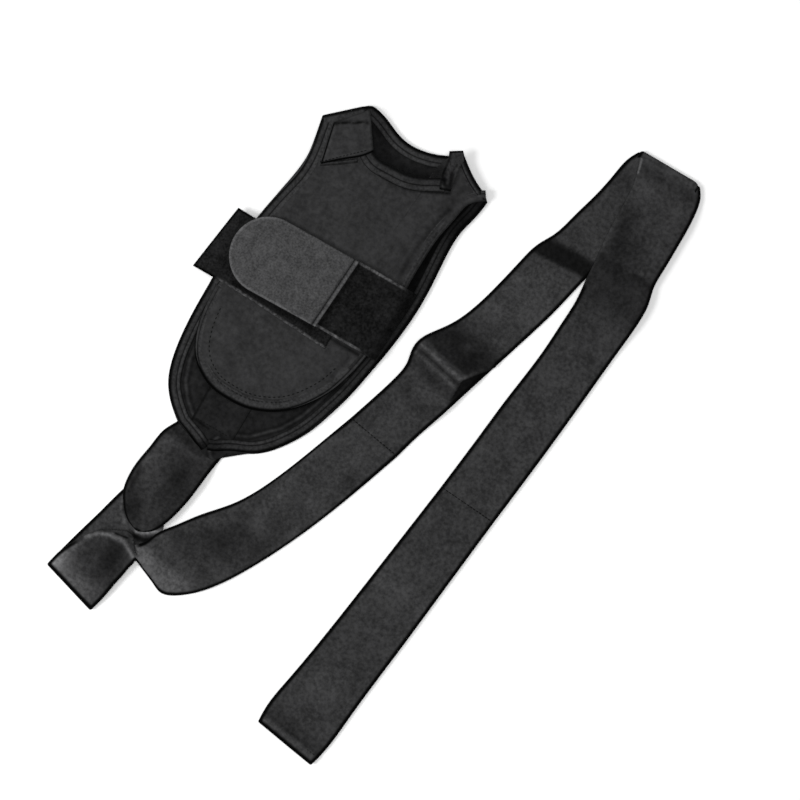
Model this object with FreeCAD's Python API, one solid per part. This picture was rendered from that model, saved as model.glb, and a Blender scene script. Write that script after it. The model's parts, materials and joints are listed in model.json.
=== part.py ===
import FreeCAD, Part
import math
import os

from FreeCAD import Vector

# Arm sling lying flat and fastened, as it is stored: a padded sleeve for the upper arm,
# a hook-and-loop cuff across it, and a long flat strap sewn to the sleeve's lower tip.
# +X is across the sleeve, +Y runs along it towards the shoulder end, +Z is up.
# The origin is on the flat underside of the back panel, near the middle of the sleeve.

os.makedirs("parts", exist_ok=True)

# ---- driving dimensions, millimetres -------------------------------------------------
CLOTH = 0.8                  # outer knitted cloth
FOAM = 2.0                   # foam core
LINING = 0.6                 # inner lining
PANEL = CLOTH + FOAM + LINING
TAPE = 0.6                   # one layer of edge binding tape
TAPE_WIDTH = 9.0             # how far the binding reaches in from an edge
EDGE = 1.0                   # panel edge inside the fold of the binding
BACK_TOP = TAPE + PANEL      # upper face of the back panel

ARCH_X = -1.0                # the front panel is a shallow arch along Y about this line
ARCH_RADIUS = 429.0          # radius of the arch's inner face
ARCH_CROWN = 12.6            # height of the inner face at its crown

LOOP = 1.4                   # loop strap
BAND = 1.8                   # cuff band
HOOK = 1.0                   # hook patch
TAB = 1.8                    # felt tab that carries the hook patch
CLEAR = 0.3                  # between faces of different bodies

STRAP = 1.8                  # long strap
LAYER = STRAP + CLEAR        # step from one lying layer of strap to the next
UNDER = 1.2                  # patch and hem under the far end of the strap

TAB_HINGE_X = 14.0           # the tab peels up about this line
CUFF_HINGE_X = 66.0          # the cuff band lifts about this line
TAIL_HINGE_X = -87.0         # the tail of the loop strap lifts about this line
FOLD_Y = 227.3               # the long strap unfolds about this line

SEAM_GAP = 0.5               # half of the gap at a line where the cloth bends
CHORD_ERROR = 0.15           # how far a chord may leave its curve
SHARP_JOIN = 2               # insets keep their corners sharp
FAR = 400.0                  # larger than anything here


# ---- helpers ---------------------------------------------------------------------------
def run(points):
    """The corners of a run: its two ends, or short chords along a smooth curve for more."""
    vectors = [Vector(x, y, 0) for x, y in points]
    if len(vectors) == 2:
        return vectors
    curve = Part.BSplineCurve()
    curve.interpolate(vectors)
    return curve.toShape().discretize(Deflection=CHORD_ERROR)


def face(*runs):
    """A flat face whose outline is the runs, each ending where the next one starts."""
    corners = []
    for points in runs:
        corners += run(points)[:-1]
    return Part.Face(Part.makePolygon(corners + corners[:1]))


def polygon(*points):
    """A flat face with straight sides."""
    corners = [Vector(x, y, 0) for x, y in points]
    return Part.Face(Part.makePolygon(corners + corners[:1]))


def inset(shape, distance):
    """A flat face drawn in from its outline by a distance."""
    return shape.makeOffset2D(-distance, SHARP_JOIN)


def slab(shape, low, high):
    """A flat face as a plate between two heights."""
    plate = shape.copy()
    plate.translate(Vector(0, 0, low))
    return plate.extrude(Vector(0, 0, high - low))


def arch(low, high):
    """A shell along Y, between two distances outside the arch's inner face."""
    base = Vector(ARCH_X, -FAR, ARCH_CROWN - ARCH_RADIUS)
    along = Vector(0, 1, 0)
    outer = Part.makeCylinder(ARCH_RADIUS + high, 2 * FAR, base, along)
    return outer.cut(Part.makeCylinder(ARCH_RADIUS + low, 2 * FAR, base, along))


def under_arch(high):
    """Everything from the rest plane up to a distance outside the arch's inner face."""
    base = Vector(ARCH_X, -FAR, ARCH_CROWN - ARCH_RADIUS)
    return Part.makeCylinder(ARCH_RADIUS + high, 2 * FAR, base, Vector(0, 1, 0))


def arched(shape, low, high):
    """A flat face as a sheet that follows the arch."""
    return slab(shape, 0, FAR).common(arch(low, high))


def largest(shape):
    """The biggest solid of a shape, without the trimmings beside it."""
    return max(shape.Solids, key=lambda solid: solid.Volume)


def arch_height(x, above):
    """Height at x of the arch's inner face plus a distance outside it."""
    return ARCH_CROWN - ARCH_RADIUS + math.sqrt((ARCH_RADIUS + above) ** 2 - (x - ARCH_X) ** 2)


def ribbon(shape, profile, thickness=STRAP):
    """A sheet with a plan outline and a lengthwise profile of (y, height of underside)."""
    lower = [Vector(-FAR, y, z) for y, z in profile]
    upper = [Vector(-FAR, y, z + thickness) for y, z in reversed(profile)]
    side = Part.Face(Part.makePolygon(lower + upper + lower[:1]))
    return slab(shape, -1, FAR).common(side.extrude(Vector(2 * FAR, 0, 0)))


def stitches(start, end, height, length=2.4, pitch=3.6, width=0.6, thick=0.3):
    """A row of thread stitches lying on a surface at one height."""
    a = Vector(start[0], start[1], height)
    b = Vector(end[0], end[1], height)
    along = (b - a).normalize()
    aside = Vector(-along.y, along.x, 0) * (width / 2)
    count = int((b - a).Length / pitch)
    rows = []
    for index in range(count):
        p = a + along * (pitch * (index + 0.5) - length / 2)
        q = p + along * length
        corners = [p - aside, q - aside, q + aside, p + aside]
        rows.append(Part.Face(Part.makePolygon(corners + corners[:1])).extrude(Vector(0, 0, thick)))
    return Part.makeCompound(rows)


def write(name, shape):
    """Write one node, and say what it is made of."""
    solids = [solid for solid in shape.Solids if solid.Volume > 0.05]
    node = solids[0] if len(solids) == 1 else Part.makeCompound(solids)
    node.exportStep("parts/" + name + ".step")
    box = node.BoundBox
    print("%-24s solids %3d  volume %9.1f  z %6.2f to %6.2f  valid %s" % (
        name, len(solids), node.Volume, box.ZMin, box.ZMax, node.isValid()))


# ---- plan outlines of the sleeve -------------------------------------------------------
LEFT_SIDE = [(-48, -160), (-72, -135), (-82, -95), (-83.5, -44), (-76, 21), (-67, 72),
             (-67, 98), (-71.5, 121)]
BACK_ARMHOLE = [(-46, 144), (-40, 148), (-25, 145), (-11, 139), (3, 136), (16, 137),
                (27, 140), (35, 144)]
RIGHT_SIDE = [(82, 129), (79, 108), (75.5, 80), (77, 38), (75, -5), (68, -48), (57, -92),
              (39, -130), (17, -152), (-2, -161)]
FRONT_ARMHOLE = [(-22, 122), (-15, 113.5), (-2, 112), (13, 113), (27, 118), (39.5, 125)]
FRONT_EDGE = [(70, 117), (67.5, 92), (63, 75), (60, 50), (61, 20), (60, -20), (56, -51),
              (38, -92), (9, -116), (-24, -122), (-55, -111), (-75, -88)]

back = face(
    LEFT_SIDE,
    [LEFT_SIDE[-1], BACK_ARMHOLE[0]],
    BACK_ARMHOLE,
    [BACK_ARMHOLE[-1], (47, 150)],
    [(47, 150), (67, 136)],
    [(67, 136), RIGHT_SIDE[0]],
    RIGHT_SIDE,
    [RIGHT_SIDE[-1], (-8, -172)],
    [(-8, -172), LEFT_SIDE[0]],
)
front = face(
    [(-41, 170), (-38, 150)],
    [(-38, 150), FRONT_ARMHOLE[0]],
    FRONT_ARMHOLE,
    [FRONT_ARMHOLE[-1], (38, 145)],
    [(38, 145), (45, 170)],
    [(45, 170), (110, 170)],
    [(110, 170), (110, 117)],
    [(110, 117), FRONT_EDGE[0]],
    FRONT_EDGE,
    [FRONT_EDGE[-1], (-110, -70)],
    [(-110, -70), (-110, 170)],
    [(-110, 170), (-41, 170)],
).common(back).Faces[0]

# where each length of binding tape runs
SIDE_ZONE = polygon((-120, -88), (-50, -88), (-50, 90), (-34, 152), (-50, 170), (-120, 170))
SHOULDER_ZONE = polygon((36, 170), (36, 126), (60, 117), (110, 117), (110, 170))
BACK_ARMHOLE_ZONE = polygon((-34, 152), (-34, 110), (36, 110), (36, 170))
FRONT_ARMHOLE_ZONE = polygon((-34, 152), (-34, 95), (36, 95), (60, 117), (36, 126), (36, 152))

# ---- sleeve panels, each a laminate of three layers ------------------------------------
back_core = inset(back, EDGE)
back_pad = inset(back, TAPE_WIDTH + CLEAR)
front_core = inset(front, EDGE)
back_layers = slab(back_core, TAPE, BACK_TOP)
front_layers = arched(front_core, 0, PANEL)

# the end of the long strap is sewn flat against the underside of the tip
strap_seat = slab(polygon((-52, -135), (-50, -180), (0, -180), (-4, -135)), 0, STRAP)

write("back_outer_cloth", slab(back_pad, 0, TAPE).fuse(slab(back_core, TAPE, TAPE + CLOTH))
      .removeSplitter().cut(strap_seat))
write("back_foam", slab(back_core, TAPE + CLOTH, BACK_TOP - LINING).cut(strap_seat))
write("back_lining", slab(back_core, BACK_TOP - LINING, BACK_TOP))
write("front_lining", arched(front_core, 0, LINING))
write("front_foam", arched(front_core, LINING, LINING + FOAM))
write("front_outer_cloth", arched(front_core, LINING + FOAM, PANEL))

# ---- binding tape, folded over the edges -------------------------------------------------
back_ring = slab(back.cut(inset(back, TAPE_WIDTH)), 0, FAR)
front_ring = slab(front.cut(inset(front, TAPE_WIDTH)), 0, FAR)
low_binding = back_ring.common(slab(back, 0, BACK_TOP + TAPE)).cut(back_layers).cut(strap_seat)
tall_binding = (back_ring.common(under_arch(PANEL + TAPE))
                .cut(back_layers).cut(front_layers).cut(strap_seat))
front_binding = (front_ring.common(arch(-TAPE, PANEL + TAPE))
                 .cut(front_layers).cut(slab(back, 0, BACK_TOP + TAPE)))

side_zone = slab(SIDE_ZONE, -1, FAR)
shoulder_zone = slab(SHOULDER_ZONE, -1, FAR)
back_armhole_zone = slab(BACK_ARMHOLE_ZONE, -1, FAR)
front_armhole_zone = slab(FRONT_ARMHOLE_ZONE, -1, FAR)
joined_zones = side_zone.fuse(shoulder_zone)

side_binding = tall_binding.common(side_zone)
shoulder_binding = tall_binding.common(shoulder_zone)
joined = side_binding.fuse(shoulder_binding)
back_edge_binding = low_binding.cut(joined_zones).cut(back_armhole_zone)
free_binding = front_binding.cut(joined).cut(joined_zones)

write("side_binding", side_binding)
write("shoulder_binding", shoulder_binding)
write("back_edge_binding", largest(back_edge_binding))
write("back_armhole_binding", low_binding.common(back_armhole_zone).cut(joined))
write("front_armhole_binding", free_binding.common(front_armhole_zone))
write("front_edge_binding", largest(free_binding.cut(front_armhole_zone)))

# ---- small pieces at the shoulder end ----------------------------------------------------
SLEEVE_TOP = PANEL + TAPE
SHOULDER_PATCH = polygon((-62, 119), (-41, 144), (-20, 117), (-52, 84))
write("shoulder_patch", arched(SHOULDER_PATCH, SLEEVE_TOP, SLEEVE_TOP + CLOTH))
write("shoulder_patch_thread", stitches((-60, 117), (-42, 138), arch_height(-42, SLEEVE_TOP + CLOTH))
      .cut(under_arch(SLEEVE_TOP + CLOTH)))
TAPE_END = polygon((35.5, 141), (46, 139), (50, 147.5), (44, 153.5), (36, 147))
write("binding_tape_end", arched(TAPE_END, SLEEVE_TOP, SLEEVE_TOP + 2 * TAPE))
BAR_TACK = polygon((40, 127), (49, 117), (51.5, 119), (42.5, 129))
write("armhole_bar_tack", arched(BAR_TACK, SLEEVE_TOP, SLEEVE_TOP + TAPE))

# ---- hook-and-loop cuff --------------------------------------------------------------------
LOOP_LOW = SLEEVE_TOP
LOOP_HIGH = LOOP_LOW + LOOP
CUFF_LOW = LOOP_HIGH + CLEAR
TAB_HIGH = CUFF_LOW + HOOK + TAB
TAB_RADIUS = 32.5
TAB_LEFT = -84.0
TAB_MIDDLE_Y = -2.5

loop_plan = polygon((-103, -41), (26, -44.5), (26, 16.5), (-94, 19.5))
tail_zone = polygon((-120, -60), (TAIL_HINGE_X - SEAM_GAP, -60), (TAIL_HINGE_X - SEAM_GAP, 40), (-120, 40))
sewn_zone = polygon((TAIL_HINGE_X + SEAM_GAP, -60), (60, -60), (60, 40), (TAIL_HINGE_X + SEAM_GAP, 40))
write("loop_strap", arched(loop_plan.common(sewn_zone).Faces[0], LOOP_LOW, LOOP_HIGH))
write("loop_strap_tail", arched(loop_plan.common(tail_zone).Faces[0], LOOP_LOW, LOOP_HIGH))


def tab_plan(margin, right):
    """The tab from above: straight sides and a round left end, drawn in by a margin."""
    radius = TAB_RADIUS - margin
    low = TAB_MIDDLE_Y - radius
    high = TAB_MIDDLE_Y + radius
    centre_x = TAB_LEFT + TAB_RADIUS
    arc = Part.Arc(Vector(centre_x, high, 0), Vector(centre_x - radius, TAB_MIDDLE_Y, 0),
                   Vector(centre_x, low, 0)).toShape()
    corners = [Vector(centre_x, low, 0), Vector(right, low, 0), Vector(right, high, 0),
               Vector(centre_x, high, 0)]
    return Part.Face(Part.Wire([arc] + Part.makePolygon(corners).Edges))


write("hook_patch", arched(tab_plan(4, -20), CUFF_LOW, CUFF_LOW + HOOK))
write("hook_tab", arched(tab_plan(0, TAB_HINGE_X - SEAM_GAP), CUFF_LOW + HOOK, TAB_HIGH))
write("tab_seam_thread", stitches((8.5, -32), (8.5, 29), arch_height(8.5, TAB_HIGH)))

BAND_LOW_Y = -33.5
BAND_HIGH_Y = 29.5
band_left = TAB_HINGE_X + SEAM_GAP
band_right = CUFF_HINGE_X - SEAM_GAP
band_plan = polygon((band_left, BAND_LOW_Y), (band_right, BAND_LOW_Y), (band_right, BAND_HIGH_Y),
                    (band_left, BAND_HIGH_Y))
write("cuff_band", arched(band_plan, CUFF_LOW, CUFF_LOW + BAND))
anchor_left = CUFF_HINGE_X + SEAM_GAP
anchor_plan = polygon((anchor_left, BAND_LOW_Y), (70, BAND_LOW_Y), (75.5, BAND_HIGH_Y),
                      (anchor_left, BAND_HIGH_Y))
write("cuff_anchor", slab(anchor_plan, BACK_TOP, FAR).common(under_arch(CUFF_LOW + BAND))
      .cut(back_edge_binding))

# ---- long strap ------------------------------------------------------------------------------
# From the sleeve's tip it runs down in a puffed pleat, folds over at the lower left, turns,
# runs up to the right, folds again and comes down over itself to its free end.
SEAM_LEFT = (74.0, -85.0)
SEAM_RIGHT = (123.5, -93.5)
PLEAT_END_Y = -252.0
PLEAT_BACK_Y = -236.0
FOLD_WALL = 1.8
TOP_LAYER = 2 * LAYER

root_plan = face(
    [(-50, -140), (-50, -160)],
    [(-50, -160), (-59, -188), (-61.5, -215), (-57, -238), (-42, -253), (-16, -243)],
    [(-16, -243), (-9, -208), (-4, -161)],
    [(-4, -161), (-4, -140)],
    [(-4, -140), (-50, -140)],
)
lower_plan = polygon((-57, -228), (-83, -316.5), (-34, -332), (-29, -313), (-22, -276), (-16, -243),
                     (-30, -228))
return_plan = face(
    [(-34, -332), (-22, -276)],
    [(-22, -276), (-30, -262)],
    [(-30, -262), (-48, -262.8), (-66, -275), (-83, -316.5)],
    [(-83, -316.5), (-34, -332)],
)
rise_plan = face(
    [(-31, -272), (8, -289.5)],
    [(8, -289.5), (24, -284.5), (45, -264), (66, -232), (92, -178), SEAM_RIGHT],
    [SEAM_RIGHT, SEAM_LEFT],
    [SEAM_LEFT, (65.5, -107.5), (45, -160), (24.5, -196), (5, -219), (-15, -246)],
    [(-15, -246), (-31, -272)],
)
pleat_profile = [(-140, 0), (-176, 0), (-210, TOP_LAYER), (PLEAT_END_Y, TOP_LAYER)]
turn_plan = polygon((-33, -270), (-22, -276), (-14, -262), (-28, -262))
fold_plan = polygon((-83, -316.5), (-34, -332), (-33.4, -330), (-82.4, -314.5))
pleat_zone = polygon((-100, PLEAT_END_Y), (50, PLEAT_END_Y), (50, PLEAT_BACK_Y), (-100, PLEAT_BACK_Y))
pleat_front = polygon((-100, PLEAT_END_Y), (50, PLEAT_END_Y), (50, PLEAT_END_Y + FOLD_WALL),
                      (-100, PLEAT_END_Y + FOLD_WALL))
pleat_back = polygon((-100, PLEAT_BACK_Y - FOLD_WALL), (50, PLEAT_BACK_Y - FOLD_WALL),
                     (50, PLEAT_BACK_Y), (-100, PLEAT_BACK_Y))

root_length = ribbon(root_plan, pleat_profile)
for piece in (
    slab(root_plan.common(pleat_zone).Faces[0], LAYER, LAYER + STRAP),
    slab(root_plan.common(pleat_front).Faces[0], LAYER, TOP_LAYER + STRAP),
    slab(root_plan.common(pleat_back).Faces[0], 0, LAYER + STRAP),
    slab(lower_plan, 0, STRAP).cut(slab(polygon((-100, PLEAT_BACK_Y), (50, PLEAT_BACK_Y), (50, -200),
                                                (-100, -200)), -1, FAR)),
    slab(return_plan, LAYER, LAYER + STRAP),
    slab(fold_plan, 0, LAYER + STRAP),
    slab(turn_plan, 0, LAYER + STRAP),
    slab(rise_plan, 0, STRAP),
):
    root_length = root_length.fuse(piece)
write("strap_root_length", root_length)

middle_plan = face(
    [SEAM_LEFT, SEAM_RIGHT],
    [SEAM_RIGHT, (137.5, -48), (152, -3), (159.5, 20), (176.5, 75), (200, 150), (224, FOLD_Y - SEAM_GAP)],
    [(224, FOLD_Y - SEAM_GAP), (171.5, FOLD_Y - SEAM_GAP)],
    [(171.5, FOLD_Y - SEAM_GAP), (162.5, 201), (151, 153.5), (143.5, 131), (125, 74.5), (108, 26),
     (91, 0), (91, -22), (83.5, -57), SEAM_LEFT],
)
write("strap_middle_lower", slab(middle_plan, 0, STRAP))

LEG_LEFT = [(173, FOLD_Y - SEAM_GAP), (183, 160), (187, 92), (182, 19), (168, -98)]
LEG_RIGHT = [(220.5, -98), (229.5, -25), (236, 45), (241, 106), (238, 165), (228, FOLD_Y - SEAM_GAP)]
leg_plan = face(
    LEG_LEFT,
    [LEG_LEFT[-1], LEG_RIGHT[0]],
    LEG_RIGHT,
    [LEG_RIGHT[-1], LEG_LEFT[0]],
)
leg_profile = [(FOLD_Y, LAYER), (95, LAYER), (55, UNDER), (-98, UNDER)]
write("strap_middle_upper", ribbon(leg_plan, leg_profile))

END_LEFT = [(168, -98), (158.5, -165), (148.5, -233), (137, -303), (133.5, -342)]
END_RIGHT = [(189.5, -351.5), (197.5, -303), (205.5, -235), (213, -167), (220.5, -98)]
end_plan = face(
    END_LEFT,
    [END_LEFT[-1], END_RIGHT[0]],
    END_RIGHT,
    [END_RIGHT[-1], END_LEFT[0]],
)
write("strap_end_length", slab(end_plan, UNDER, UNDER + STRAP))
hem_zone = polygon((110, -370), (210, -370), (210, -337), (110, -330))
hook_zone = polygon((110, -328), (210, -335), (210, -275), (110, -268))
write("strap_end_hem", slab(end_plan.common(hem_zone).Faces[0], 0, UNDER))
write("strap_hook_patch", slab(inset(end_plan.common(hook_zone).Faces[0], 4), 0, UNDER))

# ---- seams of the long strap -------------------------------------------------------------------
write("strap_lower_seam_thread", stitches((77, -88), (121, -95), STRAP))
write("strap_upper_seam_thread", stitches((171, -100), (216.5, -100), UNDER + STRAP))
write("strap_hem_thread", stitches((134, -334), (190, -343), UNDER + STRAP))

# ---- reinforcement where the strap is sewn to the tip ----------------------------------------------
ANCHOR_PATCH = polygon((-41, -155), (-41, -119), (-1, -119), (-1, -154), (-15, -160), (-30, -159))
anchor = slab(ANCHOR_PATCH, BACK_TOP, BACK_TOP + TAPE).cut(low_binding)
write("strap_anchor_patch", anchor)
ANCHOR_TOP = BACK_TOP + TAPE
anchor_rows = [
    stitches((-38, -121.5), (-4, -121.5), ANCHOR_TOP),
    stitches((-37, -149.5), (-5, -149.5), ANCHOR_TOP),
]
write("strap_anchor_thread", Part.makeCompound(anchor_rows))

print("tab hinge   x %.1f  z %.2f" % (TAB_HINGE_X, arch_height(TAB_HINGE_X, TAB_HIGH)))
print("cuff hinge  x %.1f  z %.2f" % (CUFF_HINGE_X, arch_height(CUFF_HINGE_X, CUFF_LOW + BAND)))
print("tail hinge  x %.1f  z %.2f" % (TAIL_HINGE_X, arch_height(TAIL_HINGE_X, LOOP_HIGH)))
print("fold hinge  y %.1f  z %.2f" % (FOLD_Y, LAYER - CLEAR / 2))
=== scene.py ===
import json
import math

import bpy
import numpy as np
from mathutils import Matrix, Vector


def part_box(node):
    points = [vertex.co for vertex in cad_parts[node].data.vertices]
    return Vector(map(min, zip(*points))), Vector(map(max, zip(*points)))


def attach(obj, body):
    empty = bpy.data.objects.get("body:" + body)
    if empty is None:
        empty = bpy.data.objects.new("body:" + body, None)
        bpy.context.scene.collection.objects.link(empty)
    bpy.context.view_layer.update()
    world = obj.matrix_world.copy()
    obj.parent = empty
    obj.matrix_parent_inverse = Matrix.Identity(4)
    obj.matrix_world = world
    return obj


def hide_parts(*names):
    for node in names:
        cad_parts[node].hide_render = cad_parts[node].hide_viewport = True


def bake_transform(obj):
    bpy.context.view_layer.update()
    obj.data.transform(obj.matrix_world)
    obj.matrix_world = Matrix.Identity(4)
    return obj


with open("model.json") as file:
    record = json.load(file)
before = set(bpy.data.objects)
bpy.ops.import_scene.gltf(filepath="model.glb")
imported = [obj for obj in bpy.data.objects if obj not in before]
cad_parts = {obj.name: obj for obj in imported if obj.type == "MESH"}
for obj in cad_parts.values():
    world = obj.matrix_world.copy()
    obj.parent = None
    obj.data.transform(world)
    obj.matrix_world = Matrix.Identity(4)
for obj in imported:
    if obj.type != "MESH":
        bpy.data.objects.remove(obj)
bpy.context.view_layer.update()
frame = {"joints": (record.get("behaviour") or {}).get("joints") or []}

# The script works in millimetres and turns them into metres where a mesh is made.
MM = 0.001


def joint_at(name):
    """Where a joint's axis is, in millimetres."""
    joint = next(j for j in frame["joints"] if j["name"] == name)
    return [value / MM for value in joint["pos_m"]]


def top_of(node):
    """Height of a CAD node's highest point, in millimetres."""
    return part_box(node)[1][2] / MM


TAB_HINGE = joint_at("hook_tab_peel")
CUFF_HINGE = joint_at("cuff_band_lift")
TAIL_HINGE = joint_at("loop_tail_lift")
FOLD_HINGE = joint_at("strap_unfold")

# ---- camera: straight above, with the sleeve leaning to the right ----
VIEW_TURN = math.radians(30)
VIEW_CENTRE = (102.0, -51.7)
VIEW_WIDTH = 666.7
LENS = 110.0
SENSOR = 36.0


def make_camera():
    """A long lens straight above the object, turned so that the sleeve leans."""
    data = bpy.data.cameras.new("camera")
    data.lens = LENS
    data.sensor_width = SENSOR
    camera = bpy.data.objects.new("camera", data)
    bpy.context.scene.collection.objects.link(camera)
    distance = VIEW_WIDTH * LENS / SENSOR
    camera.location = (VIEW_CENTRE[0] * MM, VIEW_CENTRE[1] * MM, distance * MM)
    camera.rotation_euler = (0, 0, VIEW_TURN)
    bpy.context.scene.camera = camera


make_camera()

# ---- the sleeve's thickness, from the CAD pieces ----
BACK_TOP = top_of("back_lining")
ARCH_X = -1.0
ARCH_RADIUS = 429.0
SLEEVE_TOP = 4.0                                   # from the arch's inner face to the binding
CROWN = top_of("front_edge_binding") - SLEEVE_TOP


def arch(x, above=0.0):
    """Height of the front panel's arch at x, plus a distance above its inner face."""
    return CROWN - ARCH_RADIUS + np.sqrt((ARCH_RADIUS + above) ** 2 - (np.asarray(x) - ARCH_X) ** 2)


# ---- curves ----
def spline(points, count):
    """count points, evenly spaced, along a smooth curve through the given points."""
    p = np.array(points, float)
    step = np.linalg.norm(np.diff(p, axis=0), axis=1)
    t = np.concatenate([[0], np.cumsum(step)])
    if len(p) == 2:
        return p[0] + (p[1] - p[0]) * np.linspace(0, 1, count)[:, None]
    n = len(p)
    a = np.zeros((n, n))
    b = np.zeros((n, p.shape[1]))
    a[0, 0] = a[-1, -1] = 1
    for i in range(1, n - 1):
        a[i, i - 1] = step[i - 1]
        a[i, i] = 2 * (step[i - 1] + step[i])
        a[i, i + 1] = step[i]
        b[i] = 6 * ((p[i + 1] - p[i]) / step[i] - (p[i] - p[i - 1]) / step[i - 1])
    m = np.linalg.solve(a, b)
    fine = np.linspace(0, t[-1], 40 * n)
    k = np.clip(np.searchsorted(t, fine, side="right") - 1, 0, n - 2)
    h = step[k][:, None]
    u = (t[k + 1] - fine)[:, None]
    v = (fine - t[k])[:, None]
    curve = ((m[k] * u ** 3 + m[k + 1] * v ** 3) / (6 * h)
             + (p[k] / h - m[k] * h / 6) * u + (p[k + 1] / h - m[k + 1] * h / 6) * v)
    return evenly(curve, count)


def evenly(line, count):
    """count points spaced evenly along a polyline."""
    line = np.asarray(line, float)
    t = np.concatenate([[0], np.cumsum(np.linalg.norm(np.diff(line, axis=0), axis=1))])
    s = np.linspace(0, t[-1], count)
    return np.column_stack([np.interp(s, t, line[:, i]) for i in range(line.shape[1])])


def chain(runs, count):
    """count points along several runs in a row, each smooth, with corners where they meet."""
    parts = [spline(points, 200) for points in runs]
    return evenly(np.vstack([parts[0]] + [part[1:] for part in parts[1:]]), count)


def rise(x, low, high):
    """0 below low, 1 above high, and smooth between."""
    t = np.clip((np.asarray(x, float) - low) / (high - low), 0, 1)
    return t * t * (3 - 2 * t)


def bell(x, middle, width):
    """A smooth hump of height 1."""
    return np.exp(-((np.asarray(x, float) - middle) / width) ** 2)


def ripple(x, y, scale, seed):
    """Gentle uneven ground from a few waves in fixed random directions, about -1 to 1."""
    rng = np.random.default_rng(seed)
    total = np.zeros_like(np.asarray(x, float))
    for _ in range(6):
        angle = rng.uniform(0, 2 * math.pi)
        phase = rng.uniform(0, 2 * math.pi)
        length = scale * rng.uniform(0.6, 1.7)
        total = total + np.sin((x * math.cos(angle) + y * math.sin(angle)) * 2 * math.pi / length + phase)
    return total / 3


# ---- meshes ----
def make_mesh(name, vertices, faces, material, shade=1.0, smooth=True):
    """A mesh piece from millimetres. shade is the painted shade and painted highlight on the cloth at each
    vertex.
    """
    mesh = bpy.data.meshes.new(name)
    vertices = np.asarray(vertices, float)
    mesh.from_pydata((vertices * MM).tolist(), [], faces)
    if smooth:
        mesh.polygons.foreach_set("use_smooth", [True] * len(mesh.polygons))
    mark = mesh.attributes.new("shade", "FLOAT", "POINT")
    mark.data.foreach_set("value", (np.ones(len(vertices)) * shade).astype(np.float32))
    mesh.materials.append(material)
    mesh.update()
    piece = bpy.data.objects.new(name, mesh)
    bpy.context.scene.collection.objects.link(piece)
    return piece


def normals_of(grid):
    """Unit normals of a grid of points."""
    n = np.cross(np.gradient(grid, axis=1), np.gradient(grid, axis=0))
    return n / np.maximum(np.linalg.norm(n, axis=2, keepdims=True), 1e-9)


# EVEN is a shell with no painted shade on its edges; DARK_SIDES puts painted shade on the left and right
# edges.
EVEN = (0, 0, 0, 0)                                # a shell with no dark edges
DARK_SIDES = (1, 1, 0, 0)


def from_ends(grid, axis):
    """Distance of each grid point from both ends of its row (axis 1) or column (axis 0)."""
    step = np.linalg.norm(np.diff(grid, axis=axis), axis=2)
    zero = np.zeros_like(grid[:, :1, 0] if axis == 1 else grid[:1, :, 0])
    first = np.cumsum(np.concatenate([zero, step], axis=axis), axis=axis)
    total = first[:, -1:] if axis == 1 else first[-1:, :]
    return first, total - first


def roll(distance, radius):
    """Thickness of a rolled edge, from 0 at the edge to 1 a radius inside."""
    t = np.clip(np.asarray(distance) / radius, 0, 1)
    return np.sqrt(1 - (1 - t) ** 2)


def shell(name, grid, thickness, material, radius=1.6, ends=True, tone=0.0, dark=EVEN, reach=4.0):
    """A closed cloth solid about a grid of mid-surface points, with rolled edges in painted shade.

    dark says how much painted shade the left, right, first and last edges get; tone is painted shade and
    painted highlight, in doublings of brightness.
    """
    rows, columns = grid.shape[:2]
    left, right = from_ends(grid, 1)
    first, last = from_ends(grid, 0)
    half = thickness / 2 * roll(np.minimum(left, right), radius)
    if ends:
        half = half * roll(np.minimum(first, last), radius)
    # light is the painted shade on the rolled edges, and shade adds the painted tone to it
    light = np.ones((rows, columns))
    for distance, amount in zip((left, right, first, last), dark):
        light = light * (1 - amount * (1 - rise(distance, reach * 0.5, reach)))
    shade = light * 2.0 ** (np.zeros((rows, columns)) + tone)
    n = normals_of(grid)
    top = (grid + n * half[:, :, None]).reshape(-1, 3)
    bottom = (grid - n * half[:, :, None]).reshape(-1, 3)
    pinched = (half < 1e-6).ravel()
    t = np.arange(rows * columns)
    u = np.where(pinched, t, rows * columns + np.cumsum(~pinched) - 1)
    vertices = np.vstack([top, bottom[~pinched]])
    shades = np.concatenate([shade.ravel(), shade.ravel()[~pinched]])
    t, u = t.reshape(rows, columns), u.reshape(rows, columns)
    above = np.stack([t[:-1, :-1], t[:-1, 1:], t[1:, 1:], t[1:, :-1]], axis=2).reshape(-1, 4).tolist()
    below = np.stack([u[:-1, :-1], u[1:, :-1], u[1:, 1:], u[:-1, 1:]], axis=2).reshape(-1, 4).tolist()
    faces = above + [face for face, other in zip(below, above)
                     if len(set(face)) == 4 and set(face) != set(other)]
    if not ends:
        for j in range(columns - 1):
            for corners in ((t[0, j], u[0, j], u[0, j + 1], t[0, j + 1]),
                            (t[-1, j], t[-1, j + 1], u[-1, j + 1], u[-1, j])):
                faces.append(list(dict.fromkeys(int(c) for c in corners)))
    return make_mesh(name, vertices, faces, material, shades)


def spread(count):
    """Places from 0 to 1, closer together at both ends."""
    s = np.linspace(-1, 1, count)
    return 0.5 + 0.5 * (0.55 * s + 0.45 * np.sin(s * math.pi / 2))


def ladder(left, right, columns):
    """A grid of points between a left and a right edge."""
    s = spread(columns)[None, :, None]
    return np.asarray(left)[:, None, :] * (1 - s) + np.asarray(right)[:, None, :] * s


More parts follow.
